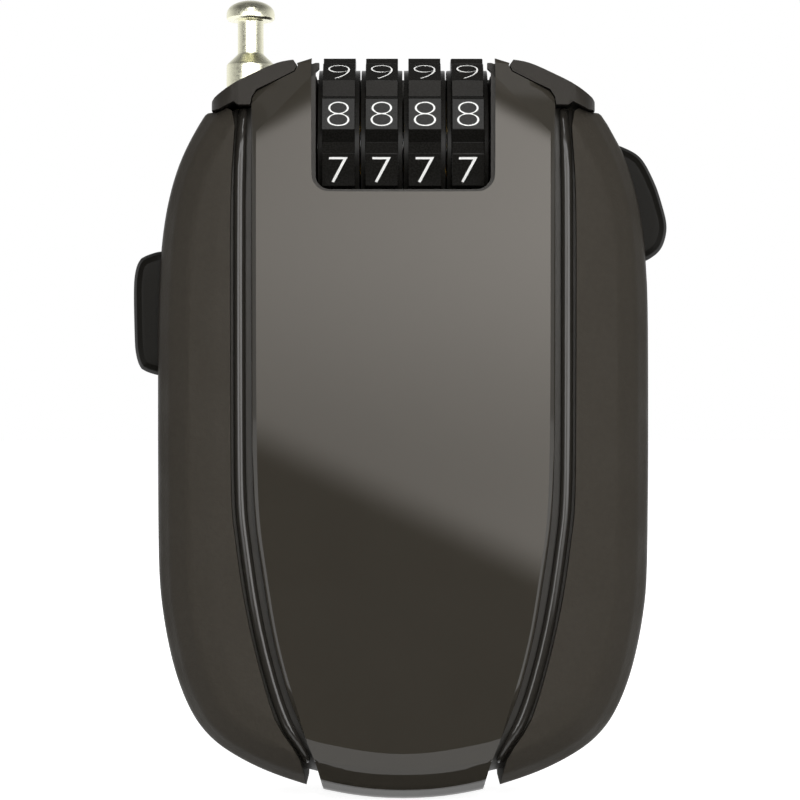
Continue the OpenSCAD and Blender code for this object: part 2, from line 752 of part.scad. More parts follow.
module cable_bolt() color(steel) {
    r = bolt_d / 2;
    crown = head_top - head_bottom - 0.9;
    translate([-bolt_x, 0, 0]) difference() {
        rotate_extrude() polygon(concat([[0, bolt_foot], [r - 0.5, bolt_foot], [r, bolt_foot + 0.5],
            [r, neck_bottom - 1.35], [neck_d / 2, neck_bottom], [neck_d / 2, head_bottom],
            [r - 0.25, head_bottom], [r, head_bottom + 0.3], [r, head_bottom + 0.9]],
            [for (a = [15:15:90]) [r * cos(a), head_bottom + 0.9 + crown * sin(a)]]));
        translate([0, 0, bolt_foot - 1]) cylinder(h = crimp_depth + 1.02, r = cable_d / 2);
    }
}

module housing_screws() color(steel) {
    for (p = screw_at) {
        along_y(-7.5, screw_head_y + 0.1, screw_shaft_r, p.x, p.y);
        difference() {
            along_y(screw_head_y, screw_head_y + 1.2, screw_head_r, p.x, p.y);
            for (a = [0, 90]) translate([p.x, screw_head_y + 0.6, p.y]) rotate([0, a, 0])
                block([-1.2, 0, -0.25], [1.2, 1, 0.25]);
        }
    }
}

// Slider on the back that lets a new code be set
module code_slider() color(gloss) {
    block([-4.6, slider_y + 0.05, slider_z - 2], [1.4, slider_y + 0.75, slider_z + 2]);
    for (k = [0:2]) block([-3.4 + 1.4 * k, slider_y + 0.7, slider_z - 1.6],
        [-2.6 + 1.4 * k, slider_y + 1.35, slider_z + 1.6]);
}

front_cover();
back_cover();
front_panel();
left_grip();
right_grip();
left_trim();
right_trim();
left_cap();
right_cap();
outlet_bush();
bolt_socket();
wheel_cage();
detent_spring();
number_wheel(0);  // number_wheel_1
number_wheel(1);  // number_wheel_2
number_wheel(2);  // number_wheel_3
number_wheel(3);  // number_wheel_4
code_sleeve(0);  // code_sleeve_1
code_sleeve(1);  // code_sleeve_2
code_sleeve(2);  // code_sleeve_3
code_sleeve(3);  // code_sleeve_4
spindle();
latch_slide();
latch_spring();
release_button();
rewind_button();
rewind_spring();
brake_lever();
brake_pad();
lever_pin();
reel();
reel_flange();
power_spring();
reel_axle();
wound_cable();
cable_run();
cable_bolt();
housing_screws();
code_slider();
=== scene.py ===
"""Looks of a retractable cable lock with four number wheels."""

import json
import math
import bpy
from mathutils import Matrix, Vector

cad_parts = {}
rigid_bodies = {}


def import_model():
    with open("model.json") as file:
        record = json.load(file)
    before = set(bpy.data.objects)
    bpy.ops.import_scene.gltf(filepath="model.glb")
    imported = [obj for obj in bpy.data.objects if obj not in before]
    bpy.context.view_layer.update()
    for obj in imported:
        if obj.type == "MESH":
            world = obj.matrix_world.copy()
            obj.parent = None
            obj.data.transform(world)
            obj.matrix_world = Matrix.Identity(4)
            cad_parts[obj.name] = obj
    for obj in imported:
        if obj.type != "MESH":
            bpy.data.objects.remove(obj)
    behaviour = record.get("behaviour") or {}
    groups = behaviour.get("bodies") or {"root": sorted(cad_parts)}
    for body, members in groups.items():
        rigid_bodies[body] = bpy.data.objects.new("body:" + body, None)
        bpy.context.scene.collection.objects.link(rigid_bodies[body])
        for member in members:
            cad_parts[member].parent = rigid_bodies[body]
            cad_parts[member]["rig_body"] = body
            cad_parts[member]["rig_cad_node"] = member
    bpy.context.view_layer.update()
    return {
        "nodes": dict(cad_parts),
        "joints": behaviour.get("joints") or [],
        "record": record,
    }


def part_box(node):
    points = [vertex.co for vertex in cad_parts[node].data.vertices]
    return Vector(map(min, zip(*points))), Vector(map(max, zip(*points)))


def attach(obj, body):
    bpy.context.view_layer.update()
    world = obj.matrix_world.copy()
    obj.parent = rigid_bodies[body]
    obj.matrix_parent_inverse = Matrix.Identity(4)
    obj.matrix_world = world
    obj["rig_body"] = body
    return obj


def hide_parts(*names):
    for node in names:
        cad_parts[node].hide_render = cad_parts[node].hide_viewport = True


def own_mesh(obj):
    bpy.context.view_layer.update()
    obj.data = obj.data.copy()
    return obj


bl_info = {
    "name": "Retractable cable lock",
    "version": (1, 0, 0),
    "blender": (4, 5, 0),
    "location": "3D View > Sidebar > Cable lock",
    "description": "Finishes, figures and studio for a combination lock with a reeled cable",
    "category": "Object",
}

import bpy
from bpy.props import FloatProperty, FloatVectorProperty, PointerProperty
from mathutils import Matrix, Vector

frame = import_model()

MM = 0.001
DIGITS = 10
WHEELS = 4

# Height of the axis that all four wheels turn about
WHEEL_AXIS_Z = next(j["pos_m"][2] for j in frame["joints"] if j["name"] == "wheel_1_turn")


def body_of_node(node):
    """Name of the body that carries a part."""
    return frame["nodes"][node]["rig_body"]


# Sizes and colours that a user would change


class LockLooks(bpy.types.PropertyGroup):
    panel_colour: FloatVectorProperty(
        name="Panel colour", description="Smoky gloss of the front panel", subtype="COLOR",
        size=3, min=0, max=1, default=(0.035, 0.031, 0.0245))
    grip_colour: FloatVectorProperty(
        name="Grip colour", description="Soft-touch rubber at the sides", subtype="COLOR",
        size=3, min=0, max=1, default=(0.034, 0.0295, 0.0230))
    cap_colour: FloatVectorProperty(
        name="Cap colour", description="Satin plastic of the shoulders", subtype="COLOR",
        size=3, min=0, max=1, default=(0.0165, 0.0140, 0.0108))
    wheel_colour: FloatVectorProperty(
        name="Wheel colour", description="Satin black of the number wheels", subtype="COLOR",
        size=3, min=0, max=1, default=(0.009, 0.0085, 0.0075))
    figure_colour: FloatVectorProperty(
        name="Figure colour", description="Paint of the figures", subtype="COLOR",
        size=3, min=0, max=1, default=(0.84, 0.84, 0.82))
    bolt_colour: FloatVectorProperty(
        name="Bolt colour", description="Warm nickel of the bolt", subtype="COLOR",
        size=3, min=0, max=1, default=(0.90, 0.885, 0.69))
    figure_height: FloatProperty(
        name="Figure height", description="Height of a figure on its pad",
        subtype="DISTANCE", unit="LENGTH", min=0.002, max=0.004, default=3.2 * MM)
    figure_width: FloatProperty(
        name="Figure width", description="Width of the widest figures",
        subtype="DISTANCE", unit="LENGTH", min=0.001, max=0.004, default=2.7 * MM)
    figure_rise: FloatProperty(
        name="Figure rise", description="Thickness of the paint",
        subtype="DISTANCE", unit="LENGTH", min=0.00001, max=0.0001, default=0.03 * MM)
    grain_size: FloatProperty(
        name="Grain size", description="Width of one grain of the soft grips",
        subtype="DISTANCE", unit="LENGTH", min=0.0001, max=0.002, default=0.42 * MM)
    card_light: FloatProperty(
        name="Card light", description="Brightness of the card that the panel mirrors",
        min=0, max=10, default=1.0)


def looks():
    return bpy.context.scene.lock_looks


# Shader nodes that several materials and the world share


def feed(tree, socket, value):
    """Give a socket a number, or link another node's output to it."""
    if isinstance(value, (int, float)):
        socket.default_value = value
    else:
        tree.links.new(value, socket)


def math_node(tree, operation, *values, clamp=False):
    node = tree.nodes.new("ShaderNodeMath")
    node.operation = operation
    node.use_clamp = clamp
    for socket, value in zip(node.inputs, values):
        feed(tree, socket, value)
    return node.outputs[0]


def mix(tree, factor, a, b):
    """Number a where the factor is 0, and b where it is 1."""
    node = tree.nodes.new("ShaderNodeMix")
    feed(tree, node.inputs["Factor"], factor)
    feed(tree, node.inputs["A"], a)
    feed(tree, node.inputs["B"], b)
    return node.outputs["Result"]


def map_range(tree, value, low, high, at_low=0.0, at_high=1.0, kind="LINEAR"):
    """Number that goes from at_low to at_high as the value goes from low to high."""
    node = tree.nodes.new("ShaderNodeMapRange")
    node.interpolation_type = kind
    feed(tree, node.inputs["Value"], value)
    feed(tree, node.inputs["From Min"], low)
    feed(tree, node.inputs["From Max"], high)
    feed(tree, node.inputs["To Min"], at_low)
    feed(tree, node.inputs["To Max"], at_high)
    return node.outputs["Result"]


# Materials

COAT_ROUGHNESS = 0.05
NOISE_SPAN = (0.3, 0.7)         # where most of a noise's values lie


class Finish:
    """A Principled material with room for patterns on Object coordinates."""

    def __init__(self, name, roughness, metallic=0.0, coat=0.0, specular=0.5):
        self.material = bpy.data.materials.new(name)
        self.material.use_nodes = True
        self.tree = self.material.node_tree
        self.shader = self.tree.nodes["Principled BSDF"]
        self.shader.inputs["Roughness"].default_value = roughness
        self.shader.inputs["Metallic"].default_value = metallic
        self.shader.inputs["Coat Weight"].default_value = coat
        self.shader.inputs["Coat Roughness"].default_value = COAT_ROUGHNESS
        self.shader.inputs["Specular IOR Level"].default_value = specular
        self.place = self.add("ShaderNodeTexCoord")
        self.height = None

    def add(self, kind, **values):
        node = self.tree.nodes.new(kind)
        for key, value in values.items():
            setattr(node, key, value)
        return node

    def link(self, a, b):
        self.tree.links.new(a, b)

    def noise(self, size, detail=3.0, stretch=(1, 1, 1)):
        """Noise whose lumps are about size metres wide."""
        mapping = self.add("ShaderNodeMapping")
        mapping.inputs["Scale"].default_value = stretch
        noise = self.add("ShaderNodeTexNoise")
        noise.inputs["Scale"].default_value = 1 / size
        noise.inputs["Detail"].default_value = detail
        self.link(self.place.outputs["Object"], mapping.inputs["Vector"])
        self.link(mapping.outputs["Vector"], noise.inputs["Vector"])
        return noise.outputs["Fac"]

    def colour(self, base, swing, fac):
        """Base colour that swings a little, darker and lighter, with a pattern."""
        blend = self.add("ShaderNodeMix", data_type="RGBA")
        blend.inputs["A"].default_value = (*[c * (1 - swing) for c in base], 1)
        blend.inputs["B"].default_value = (*[min(1, c * (1 + swing)) for c in base], 1)
        self.link(fac, blend.inputs["Factor"])
        self.link(blend.outputs["Result"], self.shader.inputs["Base Color"])

    def gloss(self, low, high, fac):
        """Roughness between two values, after a pattern."""
        roughness = map_range(self.tree, fac, *NOISE_SPAN, low, high)
        self.link(roughness, self.shader.inputs["Roughness"])

    def relief(self, height, strength, fac):
        """Bump of the given height in metres."""
        bump = self.add("ShaderNodeBump")
        bump.inputs["Strength"].default_value = strength
        bump.inputs["Distance"].default_value = height
        self.link(fac, bump.inputs["Height"])
        if self.height is not None:
            self.link(self.height, bump.inputs["Normal"])
        self.height = bump.outputs["Normal"]
        self.link(self.height, self.shader.inputs["Normal"])


def gloss_plastic(name, colour, roughness):
    """Smooth plastic with a faint waviness."""
    f = Finish(name, roughness)
    haze = f.noise(9 * MM)
    f.colour(colour, 0.05, haze)
    f.gloss(roughness * 0.9, roughness * 1.12, haze)
    f.relief(0.004 * MM, 0.12, f.noise(3 * MM, 1.0))
    return f.material


def satin_plastic(name, colour, roughness=0.42, specular=0.4):
    """Moulded plastic with a fine spark-eroded grain."""
    f = Finish(name, roughness, specular=specular)
    fine = f.noise(0.25 * MM)
    f.colour(colour, 0.12, f.noise(5 * MM))
    f.gloss(roughness * 0.88, roughness * 1.15, fine)
    f.relief(0.006 * MM, 0.35, fine)
    return f.material


def soft_rubber(name, colour, grain):
    """Dull rubber with a leather-like grain."""
    f = Finish(name, 0.62, specular=0.14)
    lumps = f.noise(grain, 2.0)
    f.colour(colour, 0.14, f.noise(grain * 1.6, 4.0))
    f.gloss(0.56, 0.70, f.noise(7 * MM))
    f.relief(0.06 * MM, 0.8, lumps)
    f.relief(0.012 * MM, 0.4, f.noise(grain * 0.35, 2.0))
    return f.material


def metal(name, colour, roughness, stretch=(1, 1, 1), wear=0.06, lines_depth=0.25):
    """Bare metal with fine working marks, drawn out by stretch."""
    f = Finish(name, roughness, metallic=1.0)
    lines = f.noise(0.3 * MM, 3.0, stretch)
    f.colour(colour, wear, f.noise(4 * MM))
    f.gloss(roughness * 0.75, roughness * 1.3, lines)
    f.relief(0.002 * MM, lines_depth, lines)
    return f.material


def paint(name, colour):
    """Flat paint of the figures."""
    f = Finish(name, 0.5)
    f.colour(colour, 0.02, f.noise(0.8 * MM))
    f.relief(0.003 * MM, 0.3, f.noise(0.2 * MM))
    return f.material


def sheathed_strand(name):
    """Steel strands that show through a clear black sheath."""
    f = Finish(name, 0.3, metallic=0.35, coat=0.8)
    twist = f.add("ShaderNodeTexWave", wave_type="BANDS", bands_direction="DIAGONAL")
    twist.inputs["Scale"].default_value = 160.0
    twist.inputs["Distortion"].default_value = 0.4
    f.link(f.place.outputs["Object"], twist.inputs["Vector"])
    f.colour((0.07, 0.07, 0.07), 0.45, twist.outputs["Fac"])
    f.relief(0.04 * MM, 0.5, twist.outputs["Fac"])
    return f.material


def make_finishes():
    s = looks()
    return {
        "case_black": satin_plastic("moulded black case", (0.024, 0.022, 0.019)),
        "gloss_panel": gloss_plastic("smoky gloss panel", s.panel_colour, 0.03),
        "soft_grip": soft_rubber("soft grip rubber", s.grip_colour, s.grain_size),
        "gloss_trim": gloss_plastic("gloss trim", (0.022, 0.020, 0.017), 0.15),
        "cap_black": satin_plastic("satin shoulder caps", s.cap_colour, 0.5, 0.25),
        "bright_steel": metal("warm nickel", s.bolt_colour, 0.30, lines_depth=0.06),
        "spring_steel": metal("drawn spring steel", (0.50, 0.50, 0.49), 0.3, (1, 1, 6)),
        "zinc": metal("die cast zinc", (0.50, 0.51, 0.52), 0.45, wear=0.12),
        "button_gloss": satin_plastic("satin black button", (0.0068, 0.0063, 0.0052), 0.30, 0.07),
        "brake_rubber": soft_rubber("brake rubber", (0.10, 0.035, 0.025), 0.3 * MM),
        "reel_plastic": satin_plastic("reel plastic", (0.03, 0.03, 0.032), 0.38),
        "cable_sheath": sheathed_strand("sheathed cable"),
        "screw_steel": metal("blackened screw steel", (0.13, 0.13, 0.13), 0.35),
        "wheel_black": satin_plastic("satin wheel black", s.wheel_colour, 0.27, 0.15),
        "brass": metal("turned brass", (0.70, 0.52, 0.22), 0.25, (8, 1, 1)),
    }


FINISH = {}
SLOT_OF = {part["node"]: part["material_slot"] for part in frame["record"]["subparts"]}


def give(obj, slot):
    obj.data.materials.clear()
    obj.data.materials.append(FINISH[slot])


# Steps that several pieces share

MERGE_DISTANCE = 0.002 * MM     # corners nearer than this become one
FLAT_ANGLE = 0.6                # degrees; faces that turn by less become one
ONE_PLANE = 0.9999              # cosine of the angle between normals that count as equal
SAME_PLACE = 0.01 * MM          # corners nearer than this lie in one plane
DEPTH_AXIS = 1
SHARPEST_BEND = 34              # degrees; a contour that bends by less at a corner is a curve
SUBDIVISIONS = 2
FACE_WEIGHT = 80                # how far large faces lead the shading
FOOT_BORDER_TOP = 9.6 * MM      # the flat front's lower border lies below this height
FOOT_BORDER_DROP = 0.6 * MM


def deselect():
    if bpy.context.object is not None and bpy.context.object.mode != "OBJECT":
        bpy.ops.object.mode_set(mode="OBJECT")
    bpy.ops.object.select_all(action="DESELECT")


def choose(obj):
    deselect()
    obj.select_set(True)
    bpy.context.view_layer.objects.active = obj


def apply_all(obj):
    choose(obj)
    for modifier in list(obj.modifiers):
        bpy.ops.object.modifier_apply(modifier=modifier.name)


def split_concave(piece):
    """Split faces whose outline turns inwards, since they can't be subdivided evenly."""
    choose(piece)
    bpy.ops.object.mode_set(mode="EDIT")
    bpy.ops.mesh.select_all(action="SELECT")
    bpy.ops.mesh.vert_connect_concave()
    bpy.ops.object.mode_set(mode="OBJECT")


def subdivide(piece):
    curve = piece.modifiers.new("smooth surface", "SUBSURF")
    curve.levels = curve.render_levels = SUBDIVISIONS
    apply_all(piece)


def round_contours(piece):
    """Turn the polygons that run round a part, as seen from the front, into smooth curves."""
    split_concave(piece)
    mesh = piece.data
    normals = {}
    for face in mesh.polygons:
        for key in face.edge_keys:
            normals.setdefault(key, []).append(face.normal)
    flat = [len(normals[e.key]) == 2 and normals[e.key][0].dot(normals[e.key][1]) > ONE_PLANE
            for e in mesh.edges]
    depth = [vertex.co[DEPTH_AXIS] for vertex in mesh.vertices]
    level = [abs(depth[a] - depth[b]) < SAME_PLACE for a, b in mesh.edge_keys]
    along = [[] for _ in mesh.vertices]
    for (a, b), is_flat, is_level in zip(mesh.edge_keys, flat, level):
        if is_level and not is_flat:
            way = (mesh.vertices[b].co - mesh.vertices[a].co).normalized()
            along[a].append(way)
            along[b].append(-way)
    turn = -math.cos(math.radians(SHARPEST_BEND))
    free = [len(ways) == 2 and ways[0].dot(ways[1]) < turn for ways in along]
    creases = mesh.attributes.new("crease_edge", "FLOAT", "EDGE")
    for crease, (a, b), is_flat, is_level in zip(creases.data, mesh.edge_keys, flat, level):
        across = not is_level and free[a] and free[b]
        crease.value = 0.0 if is_flat or across else 1.0
    corners = mesh.attributes.new("crease_vert", "FLOAT", "POINT")
    for corner, is_free in zip(corners.data, free):
        corner.value = 0.0 if is_free else 1.0
    subdivide(piece)


def lower_foot_border(piece):
    """Bring the border between the flat front and the rounded foot nearer to the foot."""
    front = min(v.co.y for v in piece.data.vertices)
    for vertex in piece.data.vertices:
        if vertex.co.y < front + SAME_PLACE and vertex.co.z < FOOT_BORDER_TOP:
            vertex.co.z -= FOOT_BORDER_DROP


def keep_front_flat(piece):
    """Mark the border of the flat front, so that it is shaded as a plane."""
    mesh = piece.data
    front = set()
    for face in mesh.polygons:
        if face.normal.y < -ONE_PLANE:
            front.symmetric_difference_update(face.edge_keys)
    for edge in mesh.edges:
        if edge.key in front:
            edge.use_edge_sharp = True


def round_whole(piece):
    """Turn a part made of straight lengths into one that is curved in every direction."""
    split_concave(piece)
    subdivide(piece)


def joined_copy(node):
    """A copy of a part as a piece of its own, with its triangles joined up into larger faces."""
    source = frame["nodes"][node]
    source.hide_viewport = False
    choose(source)
    bpy.ops.object.duplicate(linked=False)
    piece = bpy.context.object
    piece.name = node + "_finish"
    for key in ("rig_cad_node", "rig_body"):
        if key in piece:
            del piece[key]
    piece.parent = None
    choose(piece)
    bpy.ops.object.mode_set(mode="EDIT")
    bpy.ops.mesh.select_all(action="SELECT")
    bpy.ops.mesh.remove_doubles(threshold=MERGE_DISTANCE)
    bpy.ops.mesh.dissolve_limited(angle_limit=math.radians(FLAT_ANGLE))
    bpy.ops.object.mode_set(mode="OBJECT")
    return piece


def bevel_edges(piece, width, segments, angle):
    bevel = piece.modifiers.new("rounded edges", "BEVEL")
    bevel.width = width
    bevel.segments = segments
    bevel.limit_method = "ANGLE"
    bevel.angle_limit = math.radians(angle)
    bevel.use_clamp_overlap = True
    apply_all(piece)


def finer_copy(node, edge=0.0, sharp=30, segments=2, edge_angle=None, contours=False, whole=False,
               flat_front=False):
    """A part's finished copy: edges rounded by a width, faces smooth where they turn by less than
    sharp degrees, and its contours, or all of it, curved."""
    piece = joined_copy(node)
    if edge > 0:
        bevel_edges(piece, edge, segments, edge_angle or sharp)
    if flat_front:
        lower_foot_border(piece)
    if contours:
        round_contours(piece)
    if whole:
        round_whole(piece)
    choose(piece)
    bpy.ops.object.shade_smooth_by_angle(angle=math.radians(sharp))
    if flat_front:
        keep_front_flat(piece)
    weigh = piece.modifiers.new("weighted normals", "WEIGHTED_NORMAL")
    weigh.keep_sharp = True
    weigh.weight = FACE_WEIGHT
    apply_all(piece)
    give(piece, SLOT_OF[node])
    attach(piece, body_of_node(node))
    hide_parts(node)
    return piece


class LOCK_OT_finishes(bpy.types.Operator):
    """Make the finishes and put them on every part"""

    bl_idname = "lock.finishes"
    bl_label = "Finishes"

    def execute(self, context):
        FINISH.update(make_finishes())
        for node, obj in frame["nodes"].items():
            give(obj, SLOT_OF[node])
        return {"FINISHED"}


class LOCK_OT_case(bpy.types.Operator):
    """Shade the covers smoothly, round the edges of the caps, and curve the grips, panel and trims
    """

    bl_idname = "lock.case"
    bl_label = "Case"

    def execute(self, context):
        for node in ("front_cover", "back_cover"):
            finer_copy(node)
        for node in ("left_cap", "right_cap"):
            finer_copy(node, 0.3 * MM)
        for node in ("left_trim", "right_trim"):
            finer_copy(node, sharp=60, whole=True)
        for node in ("left_grip", "right_grip"):
            finer_copy(node, contours=True)
        finer_copy("front_panel", contours=True, flat_front=True)
        return {"FINISHED"}


class LOCK_OT_buttons(bpy.types.Operator):
    """Round the edges of both buttons and the code slider"""

    bl_idname = "lock.buttons"
    bl_label = "Buttons"

    def execute(self, context):
        for node in ("release_button", "rewind_button"):
            finer_copy(node, 0.3 * MM, sharp=62, segments=3, edge_angle=22, contours=True)
        finer_copy("code_slider", 0.12 * MM)
        return {"FINISHED"}


class LOCK_OT_springs(bpy.types.Operator):
    """Shade both return springs smoothly"""

    bl_idname = "lock.springs"
    bl_label = "Springs"

    def execute(self, context):
        for node, joint, mover, held_end in (
            ("latch_spring", "release_press", "latch_move", 0),
            ("rewind_spring", "rewind_press", "rewind_press", 1),
        ):
            piece = finer_copy(node, sharp=50)
            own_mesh(piece)
        return {"FINISHED"}


class LOCK_OT_metalwork(bpy.types.Operator):
    """Round the edges of the bolt, its bush and socket, and the screws"""

    bl_idname = "lock.metalwork"
    bl_label = "Metalwork"

    def execute(self, context):
        finer_copy("cable_bolt", 0.12 * MM, sharp=36, whole=True)
        finer_copy("outlet_bush", 0.1 * MM, sharp=24)
        finer_copy("bolt_socket", 0.1 * MM, sharp=24)
        finer_copy("housing_screws", 0.08 * MM, sharp=24)
        return {"FINISHED"}


# Number wheels

READING_ANGLE = 17.0            # degrees above the horizontal, of the pad in the reading line
PAD_HALF_ANGLE = 10.4           # degrees that half a pad takes up on its wheel
SHOWN_DIGIT = 8
THINNER = -0.033                # offset of the strokes, in heights of a letter
THINNER_OF = {1: -0.018, 7: -0.018, 9: -0.036}
NARROWER_OF = {1: 0.12, 7: 0.84}    # widths, as shares of the figure width
CURVE_STEPS = 6                 # in each stretch of a figure's curves


def pad_distance():
    """Distance of a pad's flat face from the wheel's axis."""
    vertices = frame["nodes"]["number_wheel_1"].data.vertices
    radius = max(math.hypot(v.co.y, v.co.z - WHEEL_AXIS_Z) for v in vertices)
    return radius * math.cos(math.radians(PAD_HALF_ANGLE))


def figure(digit, width, height, rise):
    """One figure as a thin mesh, upright in the XZ plane and facing -Y."""
    deselect()
    bpy.ops.object.text_add(location=(0, 0, 0))
    text = bpy.context.object
    text.data.body = str(digit)
    text.data.resolution_u = CURVE_STEPS
    text.data.offset = THINNER_OF.get(digit, THINNER)
    text.data.extrude = 0.01        # any thickness, scaled to the rise below
    bpy.ops.object.convert(target="MESH")
    piece = bpy.context.object
    low = Vector([min(v.co[i] for v in piece.data.vertices) for i in range(3)])
    high = Vector([max(v.co[i] for v in piece.data.vertices) for i in range(3)])
    size = high - low
    middle = (low + high) / 2
    width *= NARROWER_OF.get(digit, 1.0)
    piece.data.transform(Matrix.Translation(-middle))
    piece.data.transform(Matrix.Diagonal((width / size.x, height / size.y, rise / size.z, 1)))
    piece.data.transform(Matrix.Rotation(math.radians(90), 4, "X"))
    return piece


def ring_of_figures(masters, centre_x, reach):
    """The ten figures of a wheel, each on its pad, as one piece."""
    figures = []
    for pad in range(DIGITS):
        choose(masters[(SHOWN_DIGIT - pad) % DIGITS])
        bpy.ops.object.duplicate(linked=False)
        piece = bpy.context.object
        # turned about X from facing -Y to facing the pad's direction
        turn = math.radians(-READING_ANGLE + pad * 360 / DIGITS)
        place = (Matrix.Translation((centre_x, 0, WHEEL_AXIS_Z))
                 @ Matrix.Rotation(turn, 4, "X")
                 @ Matrix.Translation((0, -reach, 0)))
        piece.data.transform(place)
        figures.append(piece)
    deselect()
    for piece in figures:
        piece.select_set(True)
    bpy.context.view_layer.objects.active = figures[0]
    bpy.ops.object.join()
    return bpy.context.object


class LOCK_OT_wheels(bpy.types.Operator):
    """Round the wheels' edges and paint ten figures on each"""

    bl_idname = "lock.wheels"
    bl_label = "Number wheels"

    def execute(self, context):
        s = looks()
        reach = pad_distance()
        masters = [figure(d, s.figure_width, s.figure_height, s.figure_rise) for d in range(DIGITS)]
        for number in range(1, WHEELS + 1):
            node = f"number_wheel_{number}"
            finer_copy(node, 0.12 * MM, sharp=28)
            low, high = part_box(node)
            ring = ring_of_figures(masters, (low.x + high.x) / 2, reach)
            ring.name = f"wheel_{number}_figures"
            ring.data.materials.clear()
            ring.data.materials.append(paint(f"figure paint {number}", s.figure_colour))
            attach(ring, body_of_node(node))
        deselect()
        for master in masters:
            master.select_set(True)
        bpy.ops.object.delete()
        return {"FINISHED"}


# Stage


CAMERA_PLACE = (-0.0004, -0.350, 0.0495)
PICTURE_WIDTH = 0.101           # width of the picture at the case's middle plane
CLIP = (0.01, 20)
FLOOR_SIZE = 6
FLOOR_GLOW = 0.91               # as the camera and mirrors see it

# The world that surfaces mirror, from the camera's side to the back and from low to high: each
# row gives two values of the direction and the brightness at each
WORLD_DEPTH = (-0.6, 0.7, 0.16, 1.0)
WORLD_HEIGHT = (0.25, 0.85, 1.0, 0.18)
WORLD_ON_DULL = 0.18            # brightness that lights dull surfaces

LAMP_TARGET = (0, 0, 0.05)
LAMPS = (
    # name, place, width, height, watts, whether surfaces mirror it
    ("key", (0.03, -0.74, 0.74), 0.40, 0.65, 3.6, True),
    ("fill", (0.12, -1.0, 0.30), 0.4, 0.5, 7.5, False),
    ("rim", (0.0, 0.7, 0.8), 0.8, 0.4, 3.0, False),
)

CARD_DISTANCE = 0.5             # from the lock's middle plane, behind the camera
CARDS = (
    # name, left and right end, foot and top, brightness
    ("left card", (-0.37, -0.11), (0.0, 0.24), 4.0),
    ("right card", (0.11, 0.58), (0.0, 0.24), 4.0),
    ("upper card", (-0.11, 0.11), (0.152, 0.21), 4.0),
    # these two are mirrored by the panel's upper corners
    ("left corner card", (-0.26, -0.14), (0.262, 0.37), 0.25),
    ("right corner card", (0.14, 0.26), (0.305, 0.37), 0.75),
)
MATS = (
    # name and two corners, of a dark mat in front of the lock and a dark strip under its foot; the
    # strip is painted shadow, the foot's contact shadow as the panel's rounded foot mirrors it
    ("mat", (-0.10, -CARD_DISTANCE, 0.0005), (0.10, -0.031, 0.0005)),
    ("strip", (-0.03, -0.0132, 0.0002), (0.03, -0.0100, 0.0002)),
)

# The card that the panel mirrors, in places on the panel. A soft edge is a middle and a half
# width; an edge's slope is its fall per metre to the side.
PANEL_CARD_DISTANCE = 0.4
PANEL_CARD_COLOUR = (1.0, 0.95, 0.89, 1)
PANEL_CARD_HALF_WIDTH = 0.0222
PANEL_CARD_TOP = 0.0915
DIM_BELOW = (0.055, 0.017)
DIM_LIGHT = 1.95
EXTRA_LIGHT = 1.6               # added above the dim part
LIGHT_RISE_TO_RIGHT = 9.4       # per metre
LOWER_SLOPE = 0.47
LOWER_EDGE = (0.0368, 0.0033)
GABLE_SLOPE = 0.55
GABLE_EDGE = (0.0915, 0.0012)
ABOVE_GABLE = (0.0937, 0.0006)  # weak light above the gable, from here up
ABOVE_SIDE = (0.004, 0.002)     # and from here to the right
ABOVE_LIGHT = 0.5


def aim(obj, target):
    way = Vector(target) - obj.location
    obj.rotation_mode = "QUATERNION"
    obj.rotation_quaternion = way.to_track_quat("-Z", "Y")


def area_lamp(name, place, width, height, watts, mirrored):
    bpy.ops.object.light_add(type="AREA", location=place)
    lamp = bpy.context.object
    lamp.name = name
    lamp.data.shape = "RECTANGLE"
    lamp.data.size = width
    lamp.data.size_y = height
    lamp.data.energy = watts
    lamp.visible_camera = False
    lamp.visible_glossy = mirrored
    aim(lamp, LAMP_TARGET)


